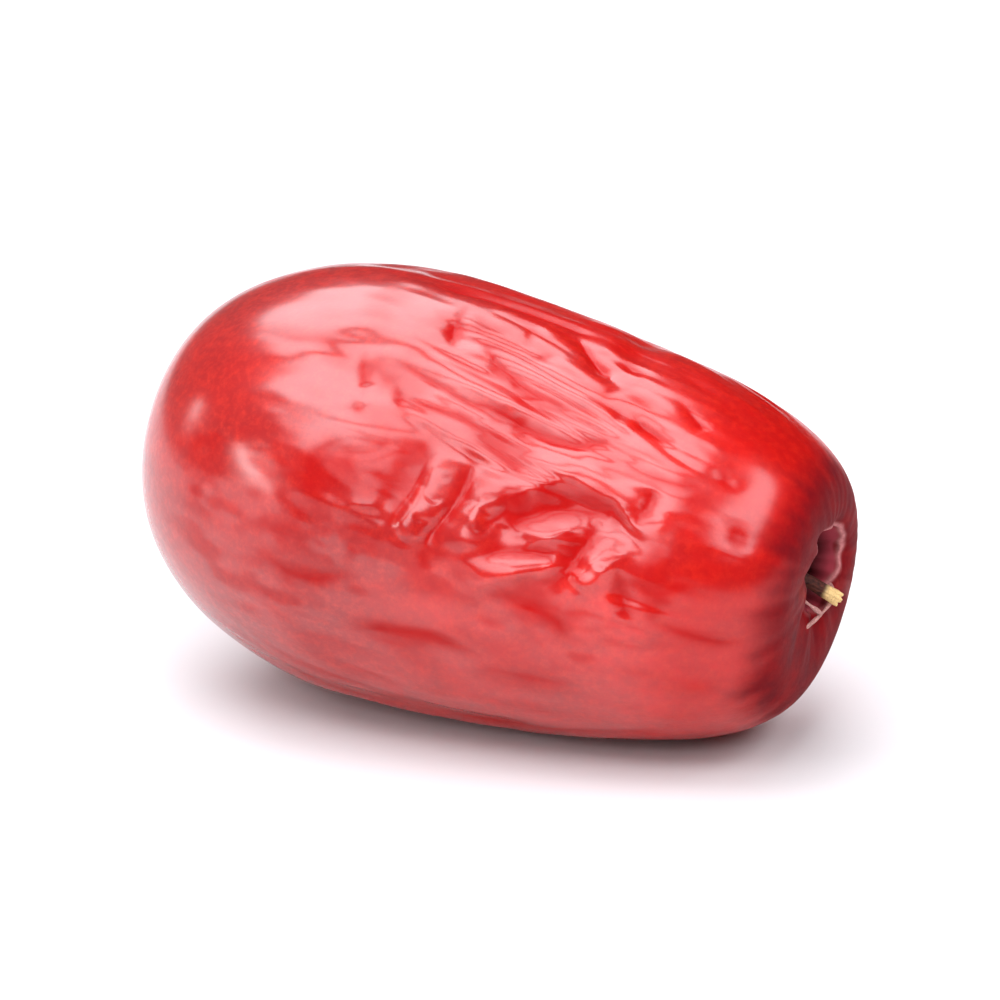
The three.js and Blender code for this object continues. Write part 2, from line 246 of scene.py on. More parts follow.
# Folds of the skin, most of them on the side that shows best. A point of a course is millimetres
# along, degrees round and the depth there, below 0 for a ridge. The half widths are those of the upper
# and the lower side for a course towards the stem end, and of the stem side and the blossom side for
# one downwards.
FOLDS = [
    # The hollow band in which the crumpled patch lies
    ([(24, 57, 0.10), (30, 58, 0.26), (36, 60, 0.26), (41, 60, 0.05)], (3.4, 5.0)),
    # Floors of the crumpled patch
    (
        [(30.4, 69.5, 0.10), (30.8, 68.3, 0.26), (31.5, 65.5, 0.34), (33.2, 61, 0.34), (34, 60.3, 0.25)],
        (1.2, 1.2),
    ),
    (
        [(34, 60, 0.20), (35.3, 60, 0.28), (36.6, 57.8, 0.28), (37.4, 60.5, 0.24), (38.6, 64.5, 0.10)],
        (0.8, 1.0),
    ),
    ([(35.9, 64.5, 0.10), (35.7, 69, 0.36), (35.2, 75, 0.40), (34.8, 79.5, 0.14)], (0.6, 1.3)),
    (
        [(29.2, 79.5, 0.05), (30.3, 77, 0.22), (31.5, 75.7, 0.26), (33.3, 75.2, 0.18), (33.8, 76, 0.05)],
        (0.9, 0.5),
    ),
    (
        [(38.9, 47.5, 0.06), (38.9, 50, 0.22), (38.7, 54, 0.28), (38.4, 58, 0.16), (38.2, 60, 0.03)],
        (0.6, 0.7),
    ),
    ([(37.9, 73.5, 0.05), (38.3, 79, 0.22), (38.9, 86, 0.20), (39.2, 89, 0.03)], (0.7, 0.5)),
    # Its edges
    (
        [
            (29.9, 62, -0.05), (31.2, 58, -0.12), (33, 53.8, -0.14), (33.6, 55, -0.08),
            (35, 55, -0.10), (36.5, 53.8, -0.12), (37.6, 57.5, -0.10), (38.9, 63, -0.05),
        ],
        (1.2, 0.5),
    ),
    ([(31, 70.2, -0.12), (33.2, 70, -0.22), (34.2, 66.3, -0.16), (35.1, 63.8, -0.05)], (1.4, 0.5)),
    ([(29.1, 89, -0.12), (29.7, 85.6, -0.46), (31.5, 82, -0.50), (33.4, 79, -0.20)], (1.5, 0.6)),
    ([(40, 48, -0.04), (40.1, 53, -0.10), (39.9, 59, -0.04)], (0.6, 0.6)),
    # Creases across the flank, beside the tongues
    (
        [
            (27.1, 56.5, 0.06), (27, 61, 0.22), (26.8, 66, 0.22),
            (26.2, 71, 0.30), (25.5, 76, 0.32), (25, 80, 0.10),
        ],
        (0.55, 0.5),
    ),
    ([(30, 61.5, 0.03), (29.9, 66, 0.16), (29.2, 70, 0.20), (28.8, 74, 0.05)], (0.5, 0.5)),
    (
        [(24.1, 56, 0.03), (23.9, 62, 0.14), (23.6, 68, 0.18), (22.9, 75, 0.16), (22.3, 79, 0.03)],
        (0.5, 0.9),
    ),
    # The edge under the smooth patch, and dents below it
    (
        [
            (14.5, 65, -0.03), (17, 62.8, -0.10), (18.5, 59.8, -0.12),
            (20.3, 57.8, -0.12), (22, 54.8, -0.10), (24, 52.2, -0.04),
        ],
        (1.2, 2.6),
    ),
    ([(17.6, 62.3, 0.04), (18.6, 61.8, 0.12), (20, 60.6, 0.12), (21, 59, 0.04)], (0.5, 0.5)),
    ([(18.6, 75.5, -0.03), (20, 74, -0.14), (21.2, 73.2, -0.16), (22, 74, -0.03)], (0.8, 0.5)),
    # Long furrows
    (
        [
            (24, 40, 0.05), (26.5, 39.8, 0.12), (28.5, 40.8, 0.18), (30, 42, 0.32),
            (31.5, 42.6, 0.42), (33, 41.8, 0.40), (34.2, 39, 0.22), (34.9, 37.2, 0.04),
        ],
        (0.8, 0.6),
    ),
    (
        [(23.4, 35.6, -0.05), (25, 36, -0.08), (28, 37, -0.08), (30.5, 38.6, -0.10), (32, 38.6, -0.03)],
        (0.5, 0.4),
    ),
    (
        [
            (20.5, 43.5, 0.04), (22.5, 44.5, 0.14), (25, 45, 0.16),
            (27, 46, 0.16), (28.5, 47.2, 0.14), (30.5, 48.5, 0.03),
        ],
        (0.5, 0.5),
    ),
    ([(26.6, 49.6, 0.04), (28, 51, 0.16), (29.4, 53.2, 0.20), (30.4, 55, 0.05)], (1.1, 0.5)),
    (
        [
            (24.2, 20.5, 0.05), (25, 23.5, 0.14), (26.5, 27, 0.18), (27.8, 29.3, 0.26),
            (29, 30.6, 0.28), (30.4, 31.6, 0.20), (31.6, 32.6, 0.04),
        ],
        (0.5, 0.5),
    ),
    (
        [(22.8, 31, 0.04), (25, 32.3, 0.12), (27, 33.6, 0.14), (29.5, 35.6, 0.14), (31.2, 36.4, 0.03)],
        (0.4, 0.4),
    ),
    (
        [
            (35.7, 27.8, 0.06), (36.4, 28.8, 0.28), (37.4, 29.6, 0.28),
            (38.6, 30.8, 0.08), (39, 31.2, 0.02),
        ],
        (0.4, 0.4),
    ),
    ([(34, 30, 0.02), (34.7, 29.8, 0.08), (35.4, 29.2, 0.02)], (0.5, 0.5)),
    # Furrows near the top
    ([(17, -7, -0.05), (19, -7, -0.24), (28, -6, -0.24), (30.5, -5, -0.05)], (1.8, 1.0)),
    (
        [
            (18.6, 0, 0.04), (20, 0, 0.16), (22, -2, 0.18),
            (25.5, -2, 0.20), (28.5, -2, 0.16), (30, -1.5, 0.05),
        ],
        (0.6, 0.5),
    ),
    (
        [(29.4, 4, 0.05), (30.2, 7.5, 0.26), (31.2, 10.8, 0.34), (32.1, 13.6, 0.30), (32.6, 15.2, 0.04)],
        (0.5, 0.4),
    ),
    ([(32.8, 5.5, 0.04), (33.6, 8.5, 0.16), (34.6, 11, 0.04)], (0.7, 0.7)),
    ([(38, 15.5, 0.04), (38.8, 17.8, 0.16), (39.8, 19.8, 0.18), (40.2, 20.3, 0.04)], (0.5, 0.5)),
    (
        [(21.4, 8, 0.04), (21.6, 14, 0.14), (21.9, 18.5, 0.22), (22.3, 24, 0.12), (22.5, 25.6, 0.03)],
        (0.55, 0.5),
    ),
    ([(22.6, 11, 0.05), (23.4, 14, 0.10), (24.6, 14.5, 0.06)], (1.0, 1.0)),
    ([(26.3, 8.5, 0.03), (26.6, 12, 0.09), (26.9, 15, 0.03)], (0.4, 0.4)),
    ([(27.6, 20, 0.03), (28.3, 18.5, 0.10), (28.7, 16, 0.03)], (0.5, 0.5)),
    ([(34.1, 18, 0.03), (33.6, 21, 0.09), (33.2, 25, 0.03)], (0.5, 0.5)),
    # The smooth end
    ([(17.2, 36.5, 0.06), (17.5, 39.5, 0.20), (17.9, 43, 0.16), (18.1, 44.5, 0.03)], (0.9, 0.45)),
    ([(18.4, 37.5, 0.08), (19.5, 40.5, 0.08)], (1.1, 1.1)),
    ([(20.1, 41, 0.05), (20.6, 44, 0.16), (21.1, 47, 0.08), (22, 49, 0.03)], (0.6, 0.6)),
    ([(18.2, 49.5, 0.05), (18.4, 50.5, 0.10), (18.5, 51.5, 0.03)], (0.4, 0.4)),
    ([(8.5, 33, 0.02), (12, 34.5, 0.07), (17, 33.5, 0.02)], (1.0, 1.0)),
    # The low flank
    ([(13.8, 93, 0.03), (16, 97, 0.14), (18.2, 96, 0.16), (20.5, 92.5, 0.03)], (1.1, 0.9)),
    ([(20.5, 109, 0.03), (23, 107, 0.15), (26, 105.5, 0.15), (29.5, 109, 0.03)], (1.0, 0.9)),
    ([(30.8, 88.5, 0.03), (33, 90, 0.15), (34.6, 93.5, 0.16), (35.3, 97, 0.03)], (1.1, 0.9)),
    ([(41, 88.5, 0.03), (43, 91.5, 0.15), (44.6, 94, 0.15), (46, 93.5, 0.03)], (1.0, 1.0)),
    ([(30, 113, 0.03), (33, 114.5, 0.08), (36, 114, 0.03)], (0.7, 0.9)),
    # Long furrows of the far side
    ([(11, 300, 0.03), (18, 296, 0.14), (26, 292, 0.18), (34, 296, 0.14), (41, 301, 0.03)], (1.2, 0.8)),
    ([(9, 268, 0.03), (16, 264, 0.12), (24, 262, 0.16), (31, 267, 0.12), (36, 270, 0.03)], (0.9, 1.2)),
    ([(17, 236, 0.03), (23, 239, 0.14), (31, 236, 0.14), (38, 231, 0.03)], (1.0, 1.0)),
    ([(19, 318, 0.03), (27, 322, 0.16), (35, 318, 0.12), (39, 314, 0.03)], (0.8, 1.0)),
    ([(26, 279, 0.03), (31, 281, 0.12), (37, 279, 0.12), (42, 275, 0.03)], (0.7, 0.8)),
    ([(13, 219, 0.03), (19, 216, 0.12), (26, 218, 0.10), (32, 215, 0.03)], (0.9, 0.9)),
    ([(12, 331, 0.03), (17, 335, 0.10), (22, 333, 0.03)], (0.8, 0.7)),
    ([(22, 142, 0.03), (28, 145, 0.12), (35, 142, 0.10), (41, 138, 0.03)], (0.9, 0.9)),
    # Dents near the stem end
    ([(41.8, 32, 0.03), (42.6, 35, 0.18), (43.4, 38, 0.03)], (0.9, 0.9)),
    ([(44.4, 48.5, 0.05), (44.6, 52, 0.14), (44.7, 55, 0.14), (44.7, 58, 0.05)], (0.7, 0.7)),
]

# Tongues of skin that stand out further and further down the flank, flat on top
TONGUES = [
    (
        [
            (25.5, 54, 0), (25.3, 60, -0.06), (25.2, 66, -0.12),
            (24.8, 72, -0.30), (24.1, 77, -0.50), (23.7, 79.5, -0.35),
        ],
        (1.1, 1.1),
    ),
    (
        [(28.2, 56.5, 0), (28.7, 62, -0.06), (28.9, 66, -0.10), (28.6, 71, -0.24), (28.3, 73.5, -0.16)],
        (0.9, 0.9),
    ),
    (
        [
            (37.9, 62.5, -0.02), (37.7, 67, -0.10), (36.9, 73, -0.28),
            (35.9, 79.5, -0.52), (35.6, 82, -0.30),
        ],
        (0.9, 0.7),
    ),
]
TONGUE_FLAT = 0.6

# Patches that have lost their gloss, where the skin is also darker red as painted shade: the middle,
# along and round, the half sizes in millimetres along and round, and the share of the gloss that is lost
DULL_PATCHES = [
    # Along the top, and small ones on the upper side
    (24.5, -5, 8, 2.0, 0.9),
    (39, -4, 6, 3.0, 0.5),
    (25, 13, 3.0, 1.8, 0.4),
    (20.3, 38, 2.0, 1.5, 0.4),
    (29, 51, 1.8, 1.2, 0.4),
    (33.5, 22, 2.5, 1.2, 0.3),
    # Under the smooth patch
    (19.3, 67.2, 0.8, 0.7, 0.8),
    (22.5, 58, 0.6, 0.9, 0.8),
    (22.8, 65.3, 0.7, 0.7, 0.7),
    # In the furrows low on the flank
    (17.3, 95, 2.6, 0.9, 0.6),
    (25, 106.5, 4.0, 0.7, 0.7),
    (33.2, 90.5, 1.8, 0.9, 0.6),
    (34.8, 95, 0.8, 0.9, 0.5),
    (43.5, 91.5, 2.0, 0.9, 0.6),
    # On the floors of the crumpled patch, and beside it
    (30.9, 64, 0.8, 1.4, 0.9),
    (32.2, 58.5, 1.0, 1.0, 0.9),
    (35.2, 57, 1.2, 0.7, 0.9),
    (34.9, 72, 0.7, 1.8, 0.9),
    (40.3, 72, 1.5, 3.0, 0.95),
    # Towards the stem end
    (44.6, 52.5, 1.1, 2.0, 0.85),
    (42.6, 35, 0.8, 0.9, 0.7),
    (43.6, 29, 0.5, 0.9, 0.5),
    (40.6, 41.5, 1.0, 1.5, 0.85),
    (41.5, 48, 1.0, 1.8, 0.9),
]

# The parts of the skin, each between the places where it starts, is full, fades and ends
middle = within(net_along, 6, 16, 40, 46)
flank = within(net_round, 58, 70, 112, 122) * within(net_along, 4, 9, 43, 46)
blossom_flank = within(net_round, 58, 66, 84, 96) * within(net_along, 4, 7, 20, 26)
low_band = within(net_round, 74, 80, 88, 98) * within(net_along, 5, 9, 26, 34)
under_patch = within(net_along, 13, 16, 23, 25) * (1 - ease(np.abs(round_from(68)), 9, 13))
smooth_patch = np.maximum(
    (1 - ease(net_along, 19, 23)) * (1 - ease(np.abs(round_from(32)), 30, 42)),
    (1 - ease(net_along, 14, 17)) * (1 - ease(np.abs(round_from(62)), 34, 44)),
)
far_side = ease(np.abs(round_from(45)), 85, 110)
line_turn = 36 + 0.8 * (net_along - 27)
combed = within(net_along, 19, 23, 34, 38) * (1 - ease(np.abs(round_from(line_turn)), 14, 24))
pocket = fold([(17.6, 67.5, 1), (20.2, 64.5, 1), (22.7, 59.5, 1)], (1.1, 1.5), flat=1.1)[0] ** 1.5
glossy_streak = fold([(11.4, 68, 1), (12.7, 81, 1)], (0.9, 0.9), flat=0.6)[0]
on_tongue = np.zeros(NET)
for course, widths in TONGUES:
    back_of_tongue = [(along, turn, 1) for along, turn, _ in course]
    on_tongue = np.maximum(on_tongue, fold(back_of_tongue, widths, flat=TONGUE_FLAT)[0])

# The skin as drying draws it in: lumps and ripples, the folds, the tongues, and fine lines with sharp
# floors, most of them combed along the upper side
LUMP_HEIGHT = 0.04
RIPPLE_HEIGHT = 0.02
POCKET_DEPTH = 0.04
LINE_DEPTH = 0.11
WIDEST_SHADED = 3
drawn = LUMP_HEIGHT * cloudy(11, 6, 5) * within(net_along, 2, 8, 44, 47)
in_folds = np.zeros(NET)
for course, widths in FOLDS:
    deep, in_shade = fold(course, widths)
    drawn -= deep
    if max(widths) < WIDEST_SHADED:
        in_folds = np.maximum(in_folds, in_shade)
drawn -= POCKET_DEPTH * pocket
for course, widths in TONGUES:
    drawn -= fold(course, widths, flat=TONGUE_FLAT)[0]
drawn += RIPPLE_HEIGHT * cloudy(12, 2.4, 1.0) * middle
lined = 0.6 * middle * ease(cloudy(13, 7, 5), -0.4, 1.2) * (1 - 0.9 * smooth_patch) * (1 - on_tongue)
fine_lines = np.sqrt(cloudy(14, 7, 1.0, slant=0.2) ** 2 + 0.02) - 0.8
drawn += LINE_DEPTH * fine_lines * np.maximum(combed, 0.7 * lined)


def buckle(bed, strength, wavelength, lean, slope, peak, steps):
    """Lets the skin buckle, as a thin sheet too wide for the soft bed under it. It folds at the
    wavelength where strength is above 0, rather along the fruit by lean, up to about that slope,
    with round backs and sharp floors by peak."""
    steepest = 0.35
    bed_hold = 8
    first_stir = 0.01
    time_step = 0.3
    number = 2 * math.pi / wavelength
    share = (wave_along ** 2 + wave_round ** 2) / number ** 2
    stiff = (1 - share) ** 2 + lean * wave_along ** 2 / number ** 2
    limit = 2 / (3 * slope ** 2)
    damping = limit * steepest * share
    bed_waves = np.fft.rfft2(bed)
    height = bed + first_stir * np.random.default_rng(3).standard_normal(NET)
    for _ in range(steps):
        waves = np.fft.rfft2(height)
        rise_along = np.fft.irfft2(1j * wave_along * waves, s=NET)
        rise_round = np.fft.irfft2(1j * wave_round * waves, s=NET)
        steep = rise_along ** 2 + rise_round ** 2
        steep = steep / (1 + steep / steepest)
        pull = 1j * wave_along * np.fft.rfft2(steep * rise_along)
        pull = pull + 1j * wave_round * np.fft.rfft2(steep * rise_round)
        lift = height - bed
        push = strength * lift - bed_hold * lift ** 3 + peak / number * (steep - steep.mean())
        waves = waves + time_step * (
            np.fft.rfft2(push) + limit / number ** 2 * pull + stiff * bed_waves + damping * waves
        )
        height = np.fft.irfft2(waves / (1 + time_step * (stiff + damping)), s=NET)
    return height


# The loose skin buckles over that form. Its level is its height without what is narrower than a crease.
BED_SHARE = 0.3
BUCKLED_SHARE = 0.6
CREASE_WIDTH = 0.8
loose = middle * (0.45 + 0.25 * cloudy(15, 8, 6)) * (1 - smooth_patch) * (1 - 0.5 * far_side)
loose = loose * (1 - np.maximum(on_tongue, under_patch)) - 0.3
bed = BED_SHARE * drawn
buckled = buckle(bed, loose, wavelength=1.3, lean=0.25, slope=0.4, peak=0.8, steps=24) - bed
height = (drawn + BUCKLED_SHARE * buckled) * (1 - ease(net_along, 45, 47.5))
smoothing = np.exp(-0.5 * (wave_along ** 2 + wave_round ** 2) * CREASE_WIDTH ** 2)
level = np.fft.irfft2(np.fft.rfft2(height) * smoothing, s=NET)

# Where the gloss is lost: in folds and creases, in mottles down the flank and in the pocket, but not on
# the tongues, and then in soft clouds, towards the stem end and in the dull patches with torn edges.
# The same places are also darkened in the skin's colour, as painted shade.
marked = np.maximum.reduce([
    in_folds,
    0.5 * flank * ease(cloudy(17, 2.6, 1.2), 0.5, 1.8),
    0.6 * (1 - glossy_streak) * blossom_flank * ease(cloudy(18, 1.2, 0.9), 0.1, 1.4),
    pocket * (0.7 + 0.3 * ease(cloudy(16, 1.3, 0.9), -0.8, 0.8)),
    0.8 * ease(level - height, 0.0, 0.08),
])
dull = 0.3 * middle * ease(cloudy(20, 3.5, 1.8), 0.0, 1.6) + 0.5 * ease(net_along, 38, 43)
dull = np.maximum(dull, 0.6 * low_band * ease(cloudy(22, 1.5, 1.0), -0.8, 1.0))
torn = np.clip(cloudy(21, 1.6, 0.9), -1.5, 2)
for along, turn, half_along, half_round, most in DULL_PATCHES:
    off = ((net_along - along) / half_along) ** 2 + (round_from(turn) * ARC / half_round) ** 2
    dull = np.maximum(dull, most * np.exp(-np.maximum(off * (1 + 0.5 * torn) - 0.2, 0)))
gloss_lost_and_shade = 1 - (1 - marked * (1 - 0.85 * on_tongue ** 4)) * (1 - dull)

# How bright a red the skin is, more so towards the stem end, and darker along the top as painted shade
redness_with_top_shade = 0.25 + 0.6 * ease(net_along, 14, 36) + 0.12 * cloudy(19, 6, 5)
redness_with_top_shade = redness_with_top_shade - 0.3 * np.exp(-(round_from(0) / 30) ** 2)


def on_skin(net, along, turn):
    """A net's values at places on the skin."""
    row = np.clip(along / along_step - 0.5, 0, NET[0] - 1.001)
    column = turn / 360 * NET[1]
    row_low, column_low = row.astype(int), column.astype(int)
    row_share, column_share = row - row_low, column - column_low
    column_low = column_low % NET[1]
    column_high = (column_low + 1) % NET[1]
    low = net[row_low, column_low] * (1 - column_share) + net[row_low, column_high] * column_share
    row_high = row_low + 1
    high = net[row_high, column_low] * (1 - column_share) + net[row_high, column_high] * column_share
    return low * (1 - row_share) + high * row_share


def wavy(angle, *terms):
    """A wavy line round an end, the sum of waves of a size, a count round the end and a phase."""
    return sum(size * np.sin(count * angle + phase) for size, count, phase in terms)


along, across, upward = fruit_places(vertex_values(fruit.data, "co"))
radius = np.hypot(across, upward)
turn = np.degrees(np.arctan2(-across, upward)) % 360
skin_height = on_skin(height, along, turn) * (1 - ((along > 43) & (radius < 6.3)))

# The rim of the stem cavity: a thin torn lip, pleats down the wall and fine lines out over the end.
# The near side of the lip is drawn in, and its upper far side is pale, partly the dry rim's own colour
# and partly a painted highlight.
CAVITY_ASIDE = 1.2
CAVITY_RISE = 1.2
LIP_WIDTH = 0.12
PINCHED_IN = 1.0
from_lip = np.hypot(across - CAVITY_ASIDE, upward - CAVITY_RISE) - LIP_RADIUS
spoke = np.arctan2(across - CAVITY_ASIDE, upward - CAVITY_RISE)
at_end = (along > 43) & (radius < 6.5)
end_face = ease(along, 43, 47.2) * (radius < 9)
ragged = wavy(spoke, (0.5, 5, 0.7), (0.35, 9, 2.0), (0.25, 16, 4.1))
lip = np.exp(-((from_lip - 0.12 * ragged) / LIP_WIDTH) ** 2) * at_end
pleats = np.exp(-((from_lip + 0.9) / 0.8) ** 2) * at_end
lines = within(from_lip, 0.2, 0.9, 2.2, 4.2) * end_face
skin_height = skin_height + lip * (0.14 + 0.10 * ragged)
skin_height = skin_height + pleats * wavy(spoke, (0.10, 13, 1.5 * np.sin(3 * spoke + 1)))
skin_height = skin_height + lines * wavy(spoke, (0.012, 31, 2 * np.sin(4 * spoke)))
pinched = PINCHED_IN * np.exp(-(from_lip / 1.2) ** 2) * np.maximum(-np.sin(spoke), 0) * at_end
# The lip is pale most on its upper far side, partly a painted highlight
off_pale = np.abs((spoke - 0.8 + math.pi) % (2 * math.pi) - math.pi)
pale_lip_and_highlight = lip * (0.25 + 0.75 * (1 - ease(off_pale, 1.3, 1.9)))
# How deep in the cavity, for a brown that is partly the scar's own colour and partly painted shade
in_pit = ease(-from_lip, 0.0, 0.3) * ease(47.9 - along, -0.4, 3.2) * at_end
# The stem end is darker, partly its own crimson and partly painted shade on the end face
edge = wavy(spoke, (0.3, 2, 1), (0.25, 5, 0), (0.2, 11, 0), (0.16, 23, 0), (0.12, 41, 2))
dark_end = np.maximum(ease(along + edge, 45.2, 47.8), at_end & (from_lip < 0.4))

# The blossom end: a dry brown point where the flower was, with small puckers round it
at_blossom = along < 3
blossom_spoke = np.radians(turn)
point = np.exp(-(radius / (0.5 + wavy(blossom_spoke, (0.07, 3, 0)))) ** 4) * at_blossom
raised = 0.18 * np.exp(-(radius / 0.38) ** 2) - 0.06 * np.exp(-((radius - 0.85) / 0.3) ** 2)
puckers = wavy(blossom_spoke, (0.025, 9, 0), (0.0175, 14, math.radians(60)))
skin_height = skin_height + at_blossom * (raised + puckers * np.exp(-((radius - 1.7) / 0.8) ** 2))

moved = vertex_values(fruit.data, "co")
moved = moved + (skin_height * MM)[:, None] * vertex_values(fruit.data, "normal")
moved = moved + (pinched * MM)[:, None] * np.array(side)
moved[:, 2] = np.maximum(moved[:, 2], cad_low.z)
fruit.data.vertices.foreach_set("co", moved.ravel())
fruit.data.update()


def keep_values(mesh, name, values):
    """Keeps a value for each point on the mesh, for the material to use."""
    attribute = mesh.attributes.new(name, "FLOAT", "POINT")
    attribute.data.foreach_set("value", values.astype(np.float32))


# How far the skin lies below its mean height, for painted shade in the hollows
over_mean = on_skin(height - drawn.mean(), along, turn)
keep_values(fruit.data, "red_with_top_shade", np.clip(on_skin(redness_with_top_shade, along, turn), 0, 1))
keep_values(fruit.data, "stem_end", dark_end)
keep_values(fruit.data, "hollow", np.clip(-4 * over_mean, 0, 1))
keep_values(fruit.data, "crease", np.clip(np.maximum(on_skin(gloss_lost_and_shade, along, turn), point), 0, 1))
keep_values(fruit.data, "point", point)
keep_values(fruit.data, "lip", pale_lip_and_highlight)
keep_values(fruit.data, "pit", in_pit)


class Shade:
    """A value in a material, which takes part in Python expressions."""

    def __init__(self, tree, socket=None):
        self.tree = tree
        self.socket = socket

    def node(self, kind, settings, sockets, output=0):
        """Any node, with its settings, what goes into its sockets, and the output that is wanted."""
        made = self.tree.nodes.new(kind)
        for name, value in settings.items():
            setattr(made, name, value)
        for name, value in sockets.items():
            if isinstance(value, Shade):
                self.tree.links.new(value.socket, made.inputs[name])
            else:
                made.inputs[name].default_value = value
        return Shade(self.tree, made.outputs[output])

    def maths(self, operation, first, second):
        """Two values, of which one may be a number, joined by a sum, difference or product."""
        return self.node("ShaderNodeMath", {"operation": operation}, {0: first, 1: second})

    def __add__(self, other):
        return self.maths("ADD", self, other)

    __radd__ = __add__

    def __sub__(self, other):
        return self.maths("SUBTRACT", self, other)

    def __rsub__(self, other):
        return self.maths("SUBTRACT", other, self)

    def __mul__(self, other):
        return self.maths("MULTIPLY", self, other)

    __rmul__ = __mul__

    def between(self, low, high):
        """0 below the first number, 1 above the second."""
        return self.node("ShaderNodeMapRange", {}, {"Value": self, "From Min": low, "From Max": high})

    def mix(self, first, second):
        """The first colour where this is 0, the second where it is 1."""
        colours = {"Factor": self, 6: first, 7: second}
        return self.node("ShaderNodeMix", {"data_type": "RGBA"}, colours, output=2)

    def place(self):
        """The place on the piece."""
        return self.node("ShaderNodeTexCoord", {}, {}, output="Object")

    def kept(self, name):
        """A value kept on the piece's points."""
        return self.node("ShaderNodeAttribute", {"attribute_name": name}, {}, output="Fac")

    def noise(self, place, size, detail=3.0, roughness=0.6):
        """Clouds of about that size in millimetres."""
        return self.node(
            "ShaderNodeTexNoise", {},
            {"Vector": place, "Scale": 1 / (size * MM), "Detail": detail, "Roughness": roughness},
        )

    def cover(self):
        """Makes this shader the material's surface."""
        output = self.tree.nodes.new("ShaderNodeOutputMaterial")
        self.tree.links.new(self.socket, output.inputs["Surface"])


def linear(red, green, blue):
    """A colour as seen on a screen, 0 to 255, as the light it stands for."""
    shares = [c / 255 for c in (red, green, blue)]
    return (*[c / 12.92 if c < 0.04 else ((c + 0.055) / 1.055) ** 2.4 for c in shares], 1.0)


def new_material(name):
    """An empty material, and the start of its expressions."""
    made = bpy.data.materials.new(name)
    made.use_nodes = True
    made.node_tree.nodes.clear()
    return made, Shade(made.node_tree)


# The skin's colours, from the darker blossom end to the brighter stem end, under a waxy coat. Painted
# shade darkens them along the top, in folds, creases and hollows. The stem end's crimson and the cavity
# floor's brown are partly their own colours and partly painted shade, and the lip's pale pink is partly
# its own colour and partly a painted highlight.
DEEP_RED = linear(142, 8, 7)
BRIGHT_RED = linear(196, 12, 5)
BLOTCH_RED = linear(132, 4, 10)
SPECKLE_RED = linear(214, 44, 22)
CREASE_SHADE_RED = linear(158, 3, 4)
HOLLOW_SHADE_RED = linear(164, 3, 4)
POINT_BROWN = linear(74, 28, 18)
STEM_END_CRIMSON_AND_SHADE = linear(98, 4, 15)
CAVITY_WALL_PINK = linear(150, 52, 64)
CAVITY_FLOOR_BROWN_AND_SHADE = linear(58, 12, 15)
LIP_PINK_AND_HIGHLIGHT = linear(208, 138, 138)
skin, shade = new_material("jujube_skin")
place = shade.place()
along_skin = {"Vector": place, "Rotation": (0, -REST_PITCH, 0), "Scale": (0.35, 1.0, 1.0)}
lengthwise = shade.node("ShaderNodeMapping", {}, along_skin)
blotches = shade.noise(place, 1.6, 3.0, 0.65).between(0.35, 0.7)
speckle = shade.noise(place, 0.6, 3.0, 0.75).between(0.44, 0.72)
grain = shade.noise(place, 0.2, 2.0).between(0.3, 0.7)
wrinkles = shade.noise(lengthwise, 0.9, 3.0, 0.55)
pores = shade.noise(place, 0.3, 2.0)
stem_end, crease, pit = shade.kept("stem_end"), shade.kept("crease"), shade.kept("pit")
# The deeper red also stands as painted shade along the top
red = shade.kept("red_with_top_shade").mix(DEEP_RED, BRIGHT_RED)
red = (blotches * 0.5).mix(red, BLOTCH_RED)
red = (speckle * 0.4).mix(red, SPECKLE_RED)
# Painted shade: darker red in folds, creases, the pocket and the dull patches
red = (crease * 0.6).mix(red, CREASE_SHADE_RED)
# Painted shade: darker red in the hollows
red = (shade.kept("hollow") * 0.5).mix(red, HOLLOW_SHADE_RED)
red = (shade.kept("point") * 0.9).mix(red, POINT_BROWN)
# The stem end's crimson, partly its own colour and partly painted shade on the end face
red = (stem_end * (0.75 + 0.25 * blotches)).mix(red, STEM_END_CRIMSON_AND_SHADE)
red = pit.between(0.0, 0.2).mix(red, CAVITY_WALL_PINK)
# The cavity floor's brown, partly the scar's own colour and partly painted shade deep in the cavity
red = pit.between(0.3, 0.75).mix(red, CAVITY_FLOOR_BROWN_AND_SHADE)
# The pale lip, partly the dry rim's own colour and partly a painted highlight
red = (shade.kept("lip") * (0.65 + 0.35 * grain)).mix(red, LIP_PINK_AND_HIGHLIGHT)
bump = shade.node(
    "ShaderNodeBump", {}, {"Height": wrinkles + 0.25 * pores, "Strength": 0.35, "Distance": 0.12 * MM}
)
shade.node(
    "ShaderNodeBsdfPrincipled", {},
    {
        "Base Color": red,
        "Roughness": 0.42 + 0.06 * grain + 0.25 * stem_end,
        "Normal": bump,
        "Specular IOR Level": 0.08,
        "Coat Weight": (1 - 0.97 * stem_end) * (1 - 0.85 * crease),
        "Coat Roughness": 0.2,
        "Coat IOR": 1.72,
    },
).cover()
fruit.data.materials.clear()
fruit.data.materials.append(skin)
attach(fruit, "root")
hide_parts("fruit")

